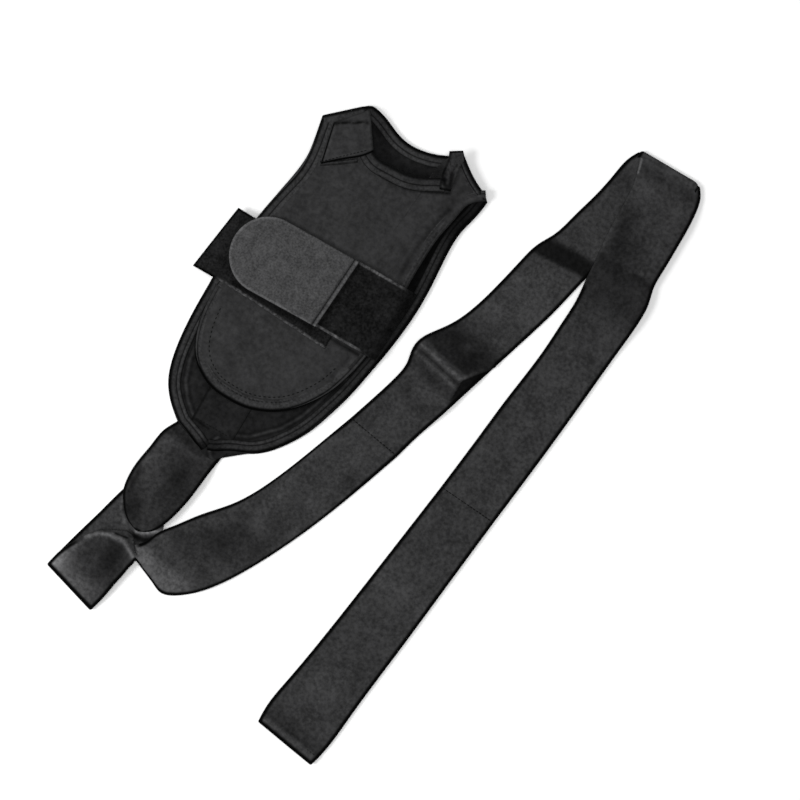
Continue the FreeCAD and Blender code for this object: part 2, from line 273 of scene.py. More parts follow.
def patch(left, right, bottom, top):
    """A grid inside four edges: left and right run upwards, bottom and top to the right."""
    v = np.linspace(0, 1, len(left))[:, None, None]
    u = np.linspace(0, 1, len(bottom))[None, :, None]
    sides = left[:, None, :] * (1 - u) + right[:, None, :] * u
    ends = bottom[None, :, :] * (1 - v) + top[None, :, :] * v
    corners = ((left[0] * (1 - u) + right[0] * u) * (1 - v)
               + (left[-1] * (1 - u) + right[-1] * u) * v)
    return sides + ends - corners


def lift(plan, height):
    """A plan grid or line of (x, y) with heights added."""
    return np.concatenate([plan, np.asarray(height)[..., None]], axis=-1)


def distance_to(x, y, points):
    """Distance in plan from a polyline."""
    closest = np.full(np.shape(x), 1e9)
    for (ax, ay), (bx, by) in zip(points, points[1:]):
        dx, dy = bx - ax, by - ay
        t = np.clip(((x - ax) * dx + (y - ay) * dy) / (dx * dx + dy * dy), 0, 1)
        closest = np.minimum(closest, np.hypot(x - ax - t * dx, y - ay - t * dy))
    return closest


def near_line(x, y, points, width):
    """1 on a plan polyline, falling away smoothly to each side."""
    return np.exp(-(distance_to(x, y, points) / width) ** 2)


def spot(x, y, centre, size, angle=0.0):
    """1 at a centre, falling away smoothly over an ellipse turned by an angle in degrees."""
    c, s = math.cos(math.radians(angle)), math.sin(math.radians(angle))
    dx, dy = x - centre[0], y - centre[1]
    return np.exp(-((dx * c + dy * s) / size[0]) ** 2 - ((dy * c - dx * s) / size[1]) ** 2)


def painted(x, y, *marks):
    """Sum of soft marks, each a strength and then what near_line (from a list) or spot takes. Tone uses it
    for painted shade (below 0) and painted highlight (above 0).
    """
    total = np.zeros(np.shape(x))
    for strength, place_at, *size in marks:
        mark = near_line if isinstance(place_at, list) else spot
        total = total + strength * mark(x, y, place_at, *size)
    return total


def side_of(x, y, a, b, low, high):
    """0 to 1 across a plan line from a to b, by distance to its left."""
    dx, dy = b[0] - a[0], b[1] - a[1]
    return rise(((y - a[1]) * dx - (x - a[0]) * dy) / math.hypot(dx, dy), low, high)


def frame_along(path):
    """Unit directions to the left of a path, in plan."""
    t = np.gradient(path, axis=0)
    side = np.column_stack([-t[:, 1], t[:, 0], np.zeros(len(t))])
    return side / np.maximum(np.linalg.norm(side, axis=1, keepdims=True), 1e-9)


def sweep(name, path, section, side_sign=1, tone=0.0):
    """A tape: a closed section of (inwards, up, shade) carried along a path, with closed ends.

    section takes a point's number on the path and its distance along it.
    """
    side = frame_along(path) * side_sign
    count = len(path)
    along = np.concatenate([[0], np.cumsum(np.linalg.norm(np.diff(path, axis=0), axis=1))])
    rings = np.array([section(i, along[i]) for i in range(count)])
    width = rings.shape[1]
    points = (path[:, None, :] + side[:, None, :] * rings[:, :, :1]
              + np.array([0, 0, 1.0]) * rings[:, :, 1:2])
    shades = rings[:, :, 2] * 2.0 ** (np.zeros(count) + tone)[:, None]
    index = np.arange(count * width).reshape(count, width)
    nxt = np.roll(index, -1, axis=1)
    quads = np.stack([index[:-1], nxt[:-1], nxt[1:], index[1:]], axis=2).reshape(-1, 4)
    ends = [index[0, ::-1].tolist(), index[-1].tolist()]
    if side_sign < 0:
        quads = quads[:, ::-1]
        ends = [end[::-1] for end in ends]
    return make_mesh(name, points.reshape(-1, 3), quads.tolist() + ends, TAPE, shades.ravel())


def tape(width, top, bottom, outline=1.0, seam=6.4, dashed=False, inner=0.12):
    """Section of binding tape over an edge. top may vary along it; seam is where it is sewn."""
    def section(i, along):
        high = float(top[i]) if np.ndim(top) else top
        low = float(bottom[i]) if np.ndim(bottom) else bottom
        middle = (high + low) / 2
        pull = 1.0
        if dashed:
            pull = 0.25 + 0.75 * float(rise(math.cos(along * 2 * math.pi / 4.2), -0.5, 0.3))
        # The third value of each point is painted shade: dark on the rolled outer edge (by outline), in the
        # sewn groove (in dashes where the stitches pull) and on the inner edge (by inner), a little lighter
        # on the crown.
        dark = 1 - outline
        groove = 1 - 0.85 * pull
        return [
            (width, high - 1.1, inner), (width - 0.1, high - 0.5, inner), (width - 0.7, high - 0.05, 0.8),
            (width - 1.5, high + 0.12, 1.12), ((seam + width) / 2 - 0.2, high + 0.2, 1.15),
            (seam + 0.9, high + 0.1, 1.0), (seam, high - 0.5 * pull, groove), (seam - 0.9, high + 0.1, 0.95),
            (seam * 0.62, high + 0.25, 1.0), (3.1, high + 0.1, 0.85), (2.1, high - 0.2, 0.25 + 0.75 * dark),
            (1.2, high - 0.5, dark), (-0.1, high - 0.45 * (high - middle) - 0.3, dark), (-0.6, middle, dark),
            (-0.3, low + 0.3 * (middle - low), dark), (0.6, low, dark), (2.5, low, 1.0),
            (width - 0.8, low, 1.0), (width, low + 0.5, 1.0),
        ]
    return section


def stitch_row(name, line, length=2.3, pitch=3.1, radius=0.32):
    """Thread stitches lying along a line, each a short rounded bar."""
    line = np.asarray(line, float)
    total = np.sum(np.linalg.norm(np.diff(line, axis=0), axis=1))
    fine = evenly(line, max(int(total / 0.25), 8))
    each = max(int(pitch / 0.25), 2)
    span = max(int(length / 0.25), 2)
    sides = 6
    vertices, faces = [], []
    for start in range(0, len(fine) - span, each):
        a, b = fine[start], fine[start + span]
        axis = (b - a) / max(np.linalg.norm(b - a), 1e-9)
        side = np.cross(axis, [0, 0, 1])
        side /= max(np.linalg.norm(side), 1e-9)
        up = np.cross(side, axis)
        first = len(vertices)
        for s, r in ((0.0, 0.35), (0.18, 0.9), (0.5, 1.0), (0.82, 0.9), (1.0, 0.35)):
            centre = a + (b - a) * s + up * radius * (0.4 - 1.2 * (2 * s - 1) ** 4)
            for k in range(sides):
                angle = 2 * math.pi * k / sides
                vertices.append(centre + (side * math.cos(angle) + up * math.sin(angle)) * radius * r)
        for ring in range(4):
            for k in range(sides):
                p = first + ring * sides + k
                q = first + ring * sides + (k + 1) % sides
                faces.append([p, q, q + sides, p + sides])
        faces.append([first + k for k in range(sides)][::-1])
        faces.append([first + 4 * sides + k for k in range(sides)])
    return make_mesh(name, vertices, faces, THREAD)


def joined(name, pieces):
    """Several pieces as one, under a new name."""
    bpy.ops.object.select_all(action="DESELECT")
    for piece in pieces:
        piece.select_set(True)
    bpy.context.view_layer.objects.active = pieces[0]
    bpy.ops.object.join()
    pieces[0].name = name
    return pieces[0]


def place(piece, body, slot, *nodes):
    """Ties a piece to a body and hides the CAD nodes that it stands for. slot is not used."""
    if nodes:
        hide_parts(*nodes)
    if body:
        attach(piece, body)
    return piece


# ---- materials ----
def add(nodes, kind, **values):
    """A shader node of a kind, with values for its inputs."""
    node = nodes.new("ShaderNode" + kind)
    for name, value in values.items():
        node.inputs[name].default_value = value
    return node


def cloth(name, dark, light, weave=0.9, weave_depth=0.14, mottle=4.0, rough=0.9,
          lump=0.3, shine=0.02):
    """Fabric: blotched colour at two scales, a fine weave, a soft uneven surface and the painted shade and
    highlights of the shade attribute.
    """
    material = bpy.data.materials.new(name)
    material.use_nodes = True
    nodes, links = material.node_tree.nodes, material.node_tree.links
    shader = nodes["Principled BSDF"]
    for socket, value in (("Roughness", rough), ("Sheen Weight", 0.01), ("Sheen Roughness", 0.6),
                          ("Specular IOR Level", shine)):
        shader.inputs[socket].default_value = value
    place_in = add(nodes, "TexCoord")
    blotch = add(nodes, "TexNoise", Scale=1 / (mottle * MM), Detail=4, Roughness=0.6)
    broad = add(nodes, "TexNoise", Scale=1 / (mottle * 6 * MM), Detail=2)
    both = add(nodes, "Mix", Factor=0.3)
    ramp = add(nodes, "ValToRGB")
    for element, position, colour in zip(ramp.color_ramp.elements, (0.38, 0.62), (dark, light)):
        element.position = position
        element.color = (*colour, 1)
    # the shade attribute scales the colour with painted shade and painted highlight
    shade = add(nodes, "Attribute")
    shade.attribute_name = "shade"
    tint = add(nodes, "VectorMath")
    tint.operation = "SCALE"
    fibre = add(nodes, "TexVoronoi", Scale=1 / (weave * MM))
    lumps = add(nodes, "TexNoise", Scale=1 / (2.6 * MM), Detail=3)
    bump_fine = add(nodes, "Bump", Strength=0.5, Distance=weave_depth * MM)
    bump_soft = add(nodes, "Bump", Strength=0.6, Distance=lump * MM)
    for texture in (blotch, broad, fibre, lumps):
        links.new(place_in.outputs["Object"], texture.inputs["Vector"])
    for source, target in (
            (blotch.outputs["Fac"], both.inputs["A"]), (broad.outputs["Fac"], both.inputs["B"]),
            (both.outputs["Result"], ramp.inputs["Fac"]), (ramp.outputs["Color"], tint.inputs[0]),
            (shade.outputs["Fac"], tint.inputs["Scale"]),
            (tint.outputs["Vector"], shader.inputs["Base Color"]),
            (fibre.outputs["Distance"], bump_fine.inputs["Height"]),
            (lumps.outputs["Fac"], bump_soft.inputs["Height"]),
            (bump_soft.outputs["Normal"], bump_fine.inputs["Normal"]),
            (bump_fine.outputs["Normal"], shader.inputs["Normal"])):
        links.new(source, target)
    return material


def grey(level, tint=1.02):
    """A near-neutral linear colour, slightly cool."""
    return (level, level, level * tint)


PANEL = cloth("panel_cloth", grey(0.018), grey(0.031))
LINING = cloth("lining_cloth", grey(0.006), grey(0.013), mottle=5)
TAPE = cloth("binding_tape", grey(0.016), grey(0.037), mottle=2.0, weave=0.6)
THREAD = cloth("thread", grey(0.004), grey(0.007), mottle=2, lump=0.02, weave_depth=0.05)
LOOP = cloth("loop_pile", grey(0.004), grey(0.016), mottle=1.8, lump=0.6, weave=0.6, weave_depth=0.3)
CUFF = cloth("cuff_cloth", grey(0.003), grey(0.012), mottle=2.4, lump=0.4)
FELT = cloth("grey_felt", grey(0.029), grey(0.065), mottle=1.7, lump=0.5, weave=0.5, weave_depth=0.25)
WEBBING = cloth("strap_webbing", grey(0.017), grey(0.038), mottle=3.2, rough=0.8, shine=0.03, weave=0.7)
HOOKS = cloth("hook_tape", grey(0.012), grey(0.02), weave=0.5, weave_depth=0.4)

# ---- plan outlines, as in the CAD part ----
LEFT_SIDE = [(-48, -160), (-60, -150), (-72, -135), (-79, -115), (-82, -95), (-83.5, -65), (-83.5, -44),
             (-80, -10), (-76, 21), (-70.3, 50), (-65.6, 72), (-65.4, 85), (-67, 98), (-71.5, 121)]
LEFT_SHOULDER = [(-71.5, 121), (-46, 144)]
BACK_ARMHOLE = [(-46, 144), (-40, 148), (-34, 147.6), (-25, 145), (-11, 139), (3, 136), (16, 137),
                (27, 140), (36, 144)]
RIGHT_SHOULDER = [(47, 150), (67, 136), (75, 132.3), (80, 129.6), (82.3, 127.3)]
RIGHT_SIDE = [(-2, -161), (17, -152), (39, -130), (50, -111), (57, -92), (63.5, -70), (68, -48),
              (72, -26), (75, -5), (77, 20), (77, 38), (75.7, 60), (74.7, 80), (75.8, 95), (80, 112),
              (82.3, 127.3)]
TIP = [(-48, -160), (-38, -163.5), (-27, -168), (-17, -173.5), (-8, -172.5), (-2, -161)]
FRONT_ARMHOLE = [(-21, 116), (-14, 112.5), (-2, 112), (13, 113), (27, 118), (39.5, 125)]
FRONT_LOWER = [(-77, -45), (-75.5, -72), (-71, -90), (-62, -106), (-50, -115.5), (-38, -120.5), (-24, -122),
               (-6.5, -121), (9, -116), (24, -107), (38, -92), (49.5, -72), (56, -51)]
FRONT_RIGHT = [(56, -51), (59, -36), (60.5, -10), (60.7, 20), (60, 42), (60.5, 62), (62, 82), (65, 97),
               (67, 108), (69, 116), (74, 122.5), (81, 127.5)]
TAPE_WIDTH = 10.0


def seam_gap(x, y):
    """Distances in from the left and the right shoulder seam."""
    left = (x + 71.5) * 0.670 - (y - 121) * 0.743
    right = (47 - x) * 0.532 + (150 - y) * 0.847
    return left, right


def front_height(x, y, above):
    """The arch, brought down to the back panel at both shoulder seams."""
    z = arch(x, above)
    room = z - (BACK_TOP + above)
    left, right = seam_gap(x, y)
    left_hold = (1 - rise(left, -4, 20)) * rise(-x, 10, 40)
    right_hold = (1 - rise(right, -4, 24)) * rise(x, 30, 52)
    return z - room * np.maximum(left_hold, 0.95 * right_hold) + 0.35 * ripple(x, y, 70, 11)


def on_front(line, above):
    """A plan line laid on the front panel, at a height above the panel's inner face."""
    return lift(line, front_height(line[:, 0], line[:, 1], above))


# ---- back panel ----
TIP_SHADOW = (-5, -168)                              # where the bindings meet in deep shade


def make_back():
    left = evenly(spline(LEFT_SIDE, 400), 150)
    right = evenly(spline(RIGHT_SIDE, 400), 150)
    bottom = chain([TIP], 110)
    top = chain([LEFT_SHOULDER, BACK_ARMHOLE, [(36, 144), (47, 150)], RIGHT_SHOULDER], 110)
    plan = patch(left, right, bottom, top)
    x, y = plan[..., 0], plan[..., 1]
    uneven = 0.25 * ripple(x, y, 60, 3)
    # painted deep shade where the bindings meet at the tip
    tone = -6.0 * spot(x, y, TIP_SHADOW, (7, 8))
    body = shell("back_outer_cloth", lift(plan, 1.9 + uneven), 3.4, PANEL, tone=tone)
    # painted shade on the lining by the gap along the right side, painted highlight and shade lines at the
    # seam grooves inside the side bindings, and a slightly lighter patch at the lower left
    tone = (-0.9 * rise(x, 54, 62) * rise(y, -60, -20)
            - 1.2 * rise(y, 20, 40) * rise(x, 54, 60))
    edge = np.minimum(distance_to(x, y, LEFT_SIDE[:8]), distance_to(x, y, RIGHT_SIDE[:6]))
    tone = tone + 1.1 * bell(edge, 13.6, 1.2) - 0.8 * bell(edge, 16.0, 1.1) - 0.8 * bell(edge, 11.4, 0.9)
    tone = tone + 0.25 * spot(x, y, (-58, -118), (9, 22), 30)
    lining = shell("back_lining", lift(plan, BACK_TOP - 0.3 + uneven), 0.7, LINING, tone=tone)
    place(body, "sleeve", "panel_cloth", "back_outer_cloth", "back_foam")
    place(lining, "sleeve", "lining", "back_lining")

    count = 60
    plan = patch(spline([(-40.5, -153), (-41, -119)], count), spline([(-1.5, -151), (-1, -119)], count),
                 spline([(-40.5, -153), (-20, -154), (-1.5, -151)], count),
                 spline([(-41, -119), (-1, -119)], count))
    x, y = plan[..., 0], plan[..., 1]
    # a little lighter than the lining and darker towards its lower end, with painted shade in the groove
    # below the lower stitch row; its sides get painted shade
    tone = (0.3 + 0.2 * ripple(x, y, 24, 17) - 0.5 * rise(-y, 146, 153)
            - 1.2 * near_line(x, y, [(-37, -150.5), (-24, -152)], 1.0))
    z = BACK_TOP + 0.45 + 0.25 * ripple(x, y, 60, 3)
    cover = shell("strap_anchor_patch", lift(plan, z), 0.9, LINING,
                  tone=tone, dark=(0.6, 0.25, 0, 0), radius=0.8, reach=2.6)
    place(cover, "sleeve", "binding", "strap_anchor_patch")
    rows = [stitch_row("row", lift(spline(line, 60), np.full(60, BACK_TOP + 1.0)))
            for line in ([(-37, -149.5), (-5, -149.5)], [(-38, -121.5), (-4, -121.5)])]
    place(joined("strap_anchor_thread", rows), "sleeve", "thread", "strap_anchor_thread")


# ---- front panel ----
FRONT_LEFT = [(-77, -45), (-80, -10), (-76, 21), (-71, 50), (-67, 72), (-66, 85), (-67, 98), (-71, 120)]
FRONT_TOP = [[(-71, 120), (-46, 143)], [(-46, 143), (-39, 144)], [(-39, 144), (-20.5, 116.5)], FRONT_ARMHOLE,
             [(39.5, 125), (38.5, 146)], [(38.5, 146), (47, 149.5)],
             [(47, 149.5), (67, 135.5), (75, 132), (81, 127.5)]]


CREST = [(51, 36), (50.5, 60), (53, 80)]           # the crease beside the front panel's crest


def make_front():
    plan = patch(chain([FRONT_LEFT], 150), chain([FRONT_RIGHT], 150), chain([FRONT_LOWER], 170),
                 chain(FRONT_TOP, 170))
    x, y = plan[..., 0], plan[..., 1]
    tone = 0.12 * ripple(x, y, 18, 12) + 0.06 * ripple(x, y, 7, 13)
    # painted shade in the crease beside the crest; the marks paint the lit ridge and shaded gap at the right
    # shoulder, the shadow under the cuff band's lower edge, shade along the bar tack's stitch grooves, and
    # small highlights; the top edge gets painted shade
    tone = tone - 0.75 * near_line(x, y, CREST + [(56, 95), (58, 105)], 2.6) * rise(y, 30, 40)
    tone = tone + painted(
        x, y,
        (0.35, [(64, 112), (66, 118), (70, 123), (76, 127)], 1.8), (-3.0, [(79, 129), (82, 127)], 2.2),
        (-0.5, [(60, 104), (57, 116), (60, 126)], 3.0), (-0.4, (52, 112), (3, 12), 8),
        (0.35, (50, 139), (6, 4), -30), (-2.6, [(26, -36.2), (55, -36.6)], 1.5),
        (-0.5, [(47.5, -42), (43, -62)], 2.2), (0.3, [(51, -42), (47, -60)], 1.8),
        (-2.0, [(18, 102), (34, 108), (52, 117)], 1.2), (-1.4, (35, 128), (6, 9), 15),
        (-1.0, [(-12, 101.5), (4, 99.8), (18, 102)], 1.0))
    crease = -0.5 * near_line(x, y, CREST + [(57, 100)], 2.2)
    ridge = 0.7 * near_line(x, y, [(62, 100), (65, 112), (70, 122), (80, 128)], 2.5)
    z = front_height(x, y, 1.9) + crease + ridge
    outer = shell("front_outer_cloth", lift(plan, z), 3.0, PANEL, tone=tone, dark=(0, 0, 0, 0.9), reach=2.4)
    lining = shell("front_lining", lift(plan, front_height(x, y, 0.2)), 0.5, LINING)
    place(outer, "sleeve", "panel_cloth", "front_outer_cloth", "front_foam")
    place(lining, "sleeve", "lining", "front_lining")


# ---- binding ----
def steps(runs, spacing=1.3):
    """Points along several runs in a row, about a spacing apart."""
    fine = chain(runs, 600)
    total = np.sum(np.linalg.norm(np.diff(fine, axis=0), axis=1))
    return evenly(fine, max(int(total / spacing), 12))


def bound(name, runs, section, inside, tone=0.0):
    """Binding tape along an edge in plan. inside is 1 where the cloth is to the left."""
    line = steps(runs)
    return sweep(name, lift(line, np.zeros(len(line))), section, inside, tone)


def make_back_bindings():
    low = tape(TAPE_WIDTH, 5.0, 0.1)
    corner = [(-83.5, -40)] + LEFT_SIDE[6::-1]
    right = [[(-16, -168.5), (-9, -165.5), (-2, -161)] + RIGHT_SIDE[1:]]
    left = [corner, TIP[:3] + [(-20.5, -171)]]
    line = steps(left)
    # painted shade: the left tape darkens where it runs into the tip, the right tape darkens further up its
    # side and by the tip
    tip_shade = -2.5 * rise(line[:, 0], -30, -20) * rise(-line[:, 1], 158, 162)
    up = steps(right)[:, 1]
    shaded = (-0.25 - 0.55 * rise(up, -110, -20) - 1.6 * rise(up, 62, 100)
              - 1.2 * (1 - rise(up, -167, -158)))
    pieces = [bound("tape_left", left, low, 1, tip_shade), bound("tape_right", right, low, 1, shaded)]
    place(joined("back_edge_binding", pieces), "sleeve", "binding", "back_edge_binding")
    armhole = bound("back_armhole_binding", [BACK_ARMHOLE], tape(TAPE_WIDTH + 0.5, 5.2, 0.1), -1)
    place(armhole, "sleeve", "binding", "back_armhole_binding")


def make_side_binding():
    line = steps([[p for p in LEFT_SIDE if p[1] > -50]])
    top = front_height(line[:, 0] + 5, line[:, 1], SLEEVE_TOP) + 0.2
    side = sweep("side_tape", lift(line, 0 * top), tape(TAPE_WIDTH + 1.2, top, 0.1), -1)
    line = steps([LEFT_SHOULDER])
    top = front_height(line[:, 0] + 4, line[:, 1] - 4, SLEEVE_TOP) + 0.3
    seam = sweep("shoulder_tape", lift(line, 0 * top), tape(TAPE_WIDTH + 2, top, 0.1, seam=7.5), -1, 0.1)
    place(joined("side_binding", [side, seam]), "sleeve", "binding", "side_binding")


def make_front_bindings():
    lower = steps([FRONT_LOWER])
    right = steps([FRONT_RIGHT])
    # painted shade on the right tape's lower end
    low_end = -0.9 * (1 - rise(right[:, 1], -42, -28))
    pieces = [
        sweep("front_tape_low", on_front(lower, 1.7),
              tape(10.2, 2.3, -2.2, seam=7.6, dashed=True, inner=0.8), 1, 0.12),
        sweep("front_tape_right", on_front(right, 1.7),
              tape(8.4, 2.3, -2.2, outline=0.4, seam=5.6, inner=0.5), 1, low_end),
    ]
    place(joined("front_edge_binding", pieces), "sleeve", "binding", "front_edge_binding")
    inner = lower + frame_along(lift(lower, 0 * lower[:, 0]))[:, :2] * 11.8
    inner = inner[12:-6]
    row = stitch_row("front_hem_thread", on_front(inner, 3.35), 2.6, 4.2, 0.42)
    place(row, "sleeve", "thread")
    line = steps([FRONT_ARMHOLE + [(43, 126.5)]])
    rim = sweep("front_armhole_binding", on_front(line, 1.7),
                tape(12.0, 2.6, -2.2, outline=0.85, seam=7.0, inner=0.1), -1, -0.3)
    place(rim, "sleeve", "binding", "front_armhole_binding")


# ---- shoulder end ----
def make_shoulder():
    corners = [(-52.5, 84.5), (-19.5, 115), (-40, 144.5), (-60.5, 120)]
    plan = patch(spline([corners[0], corners[3]], 70), spline([corners[1], corners[2]], 70),
                 spline([corners[0], (-36, 98.5), (-24, 109), corners[1]], 70),
                 spline([corners[3], corners[2]], 70))
    x, y = plan[..., 0], plan[..., 1]
    seam = [(-60, 119), (-48, 126.5), (-36, 133)]
    # painted shade along the sewn seam's groove, which is also pressed in, and painted highlights along the
    # patch's raised edges; its edges get painted shade
    sewn = near_line(x, y, seam, 1.5) * (0.7 + 0.5 * ripple(x, y, 6, 19))
    tone = -2.4 * sewn + 0.1 * ripple(x, y, 10, 6) + painted(
        x, y, (0.25, [(-52, 88), (-22, 117)], 1.2), (0.3, [(-38, 140), (-21, 118)], 1.6),
        (0.5, [(-57, 117), (-52, 90)], 1.4))
    z = front_height(x, y, SLEEVE_TOP + 1.4) + 0.35 * ripple(x, y, 30, 5) - 0.6 * sewn
    piece = shell("shoulder_patch", lift(plan, z), 2.0, PANEL, tone=tone, dark=(1, 0.3, 1, 0.3), reach=2.2)
    place(piece, "sleeve", "panel_cloth", "shoulder_patch")

    # the welt just below the patch, and its stitches
    line = steps([[(-51.5, 82), (-40, 89.3), (-25.5, 99.8)]])
    welt = sweep("shoulder_welt", on_front(line, SLEEVE_TOP - 1.4),
                 tape(6.6, 1.2, -0.9, outline=0.8, seam=4.6, inner=0.4), 1)
    place(welt, "sleeve", "binding")
    rows = [stitch_row("row", on_front(spline(seam, 80), SLEEVE_TOP + 2.0)),
            stitch_row("row", on_front(spline([(-53, 86.5), (-23, 115)], 80), SLEEVE_TOP + 2.5))]
    place(joined("shoulder_patch_thread", rows), "sleeve", "thread", "shoulder_patch_thread")

    # right shoulder: binding over the seam, and the upright tape that ends above it
    line = steps([RIGHT_SHOULDER[:3]])
    top = front_height(line[:, 0] - 3, line[:, 1] - 4, SLEEVE_TOP) + 0.3
    seam = sweep("shoulder_binding", lift(line, 0 * top), tape(7.0, top, 0.1, seam=5.0, inner=0.8), -1)
    place(seam, "sleeve", "binding", "shoulder_binding")
    count = 60
    plan = patch(chain([[(43, 115.5), (38.5, 127), (37, 140), (34.5, 147)]], count),
                 chain([[(52, 118.5), (50, 132), (48.5, 140), (49.5, 147.5)]], count),
                 spline([(43, 115.5), (52, 118.5)], count),
                 chain([[(34.5, 147), (44, 153.5)], [(44, 153.5), (49.5, 147.5)]], count))
    x, y = plan[..., 0], plan[..., 1]
    # painted shade in the creases and stitch grooves of the tape end and painted highlights on its raised
    # parts; its edges get painted shade
    tone = painted(
        x, y,
        (-2.2, [(42.5, 124), (47, 119.5)], 1.8), (-2.4, [(46, 131), (50.5, 119)], 1.7),
        (-1.8, [(38.5, 132), (42, 124)], 1.8), (0.45, (49, 139), (3, 4)),
        (-0.6, [(45.5, 141), (45, 131)], 1.0), (-0.5, [(41, 146), (44, 149)], 1.0),
        (0.35, [(37.5, 147.5), (44, 151)], 1.2), (0.4, [(46, 118), (50, 119.5)], 1.3))
    z = front_height(x, y, SLEEVE_TOP + 0.9) - 0.5 * near_line(x, y, [(45.5, 141), (45, 121)], 1.5)
    end = shell("binding_tape_end", lift(plan, z), 2.0, TAPE, tone=tone, dark=(0.7, 0.2, 0.9, 1), reach=2.4)
    place(end, "sleeve", "binding", "binding_tape_end")
    rows = [stitch_row("row", on_front(spline(points, 120), SLEEVE_TOP + 0.3))
            for points in ([(-6, 100.6), (8, 100.2), (18, 102), (34, 108), (51, 116.5)],
                           [(44.5, 120.5), (47.5, 129)])]
    place(joined("armhole_bar_tack", rows), "sleeve", "thread", "armhole_bar_tack")


# ---- cuff ----
TAB_MIDDLE = -3.0
TAB_RADIUS = 32.6
TAB_LEFT = -84.5
LOOP_THICK = 1.7
HOOK_THICK = 1.0
FELT_THICK = 2.2
CUFF_LOW = -34.0                                   # y of the cuff band's two sides
CUFF_HIGH = 31.0


def make_loop_strap():
    top_edge = spline([(25.5, 14), (-40, 17.5), (-94, 19.5)], 140)[::-1]
    low_edge = spline([(27, -46.5), (-20, -43.6), (-60, -41.4), (-103, -41)], 140)[::-1]
    plan = ladder(low_edge, top_edge, 70).transpose(1, 0, 2)
    x, y = plan[..., 0], plan[..., 1]
    low = np.interp(x, [-103, -60, -20, 27], [-41, -41.4, -43.6, -46.5])
    # painted highlight along the lower edge from where the tail ends, painted shadow under the hook tab's
    # lower edge, and painted shade on the edges of the tail
    lower_edge_highlight = rise(x, -84, -76)
    tone = 3.1 * lower_edge_highlight * (1 - rise(y - low, 1.5, 3.2)) * (0.8 + 0.25 * ripple(x, y, 7, 22))
    tone = tone - 1.3 * near_line(x, y, [(-66, -36.5), (8, -36.5)], 2.0) * rise(x, -76, -66)
    tone = tone - 0.5 * rise(x, -91, -85) + 0.2 * ripple(x, y, 14, 23)
    z = arch(x, SLEEVE_TOP + 0.8) + 0.3 * ripple(x, y, 34, 21) + 0.3 * rise(-x, 84, 103)
    tail = 1 - rise(x, -84, -77)
    loop = shell("loop_strap", lift(plan, z), LOOP_THICK, LOOP,
                 tone=tone, dark=(1, 0, tail, tail), reach=2.6)
    place(loop, None, "loop_pile", "loop_strap", "loop_strap_tail")
    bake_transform(loop)


def tab_welt(y):
    """x of the tab's sewn end, which leans to the right going up."""
    return 7.3 + (y + 34) * 0.065


def make_tab():
    upright = np.linspace(0, math.pi / 2, 90)
    top = [(TAB_LEFT + TAB_RADIUS * (1 - math.cos(a)), TAB_MIDDLE + TAB_RADIUS * math.sin(a))
           for a in upright]
    low = [(x, 2 * TAB_MIDDLE - y) for x, y in top]
    top_line = evenly(np.array(top + [(16.4, 30.2)]), 150)
    low_line = evenly(np.array(low + [(11.6, -34.4)]), 150)
    plan = ladder(low_line, top_line, 80).transpose(1, 0, 2)[:, 1:]
    x, y = plan[..., 0], plan[..., 1]
    welt = x - tab_welt(y)
    tone = 0.10 * ripple(x, y, 9, 32) + 0.06 * ripple(x, y, 4.5, 33)
    # painted highlight along the rim, faint along the upper side; painted shade in the groove of the sewn
    # end, a lighter strip past it, and deep painted shade where the end runs under the band
    rim = np.hypot(np.minimum(x - TAB_LEFT - TAB_RADIUS, 0), y - TAB_MIDDLE)
    rim_highlight_reach = 1 - 0.75 * rise(x, -66, -50) * rise(y, 0, 20)
    tone = tone + 0.75 * rise(rim, TAB_RADIUS - 3.2, TAB_RADIUS - 1.2) * rim_highlight_reach
    tone = tone - 1.8 * bell(welt, 0.6, 1.2) + 0.6 * rise(welt, 1.4, 2.4)
    tone = tone - 3.5 * rise(welt, 3.9, 4.7)
    z = (arch(x, SLEEVE_TOP + LOOP_THICK + HOOK_THICK + FELT_THICK / 2) + 0.25 * ripple(x, y, 26, 31)
         - 0.9 * bell(welt, 0.6, 1.0) - 0.6 * rise(-x, 70, 84))
    tab = shell("hook_tab", lift(plan, z), FELT_THICK, FELT, tone=tone, radius=1.3)
    place(tab, None, "grey_felt", "hook_tab")
    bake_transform(tab)
    up = np.linspace(-33, 29, 60)
    line = np.column_stack([tab_welt(up) + 0.6, up])
    thread = stitch_row("tab_seam_thread", lift(line, arch(line[:, 0], SLEEVE_TOP + 4.3)), 1.8, 2.6, 0.28)
    place(thread, "hook_tab", "thread", "tab_seam_thread")
    under = lift(plan, z - (HOOK_THICK + FELT_THICK) / 2 - 0.1)[8:-8, 12:-30]
    hooks = shell("hook_patch", under, HOOK_THICK, HOOKS, radius=0.8)
    place(hooks, "hook_tab", "hook_tape", "hook_patch")


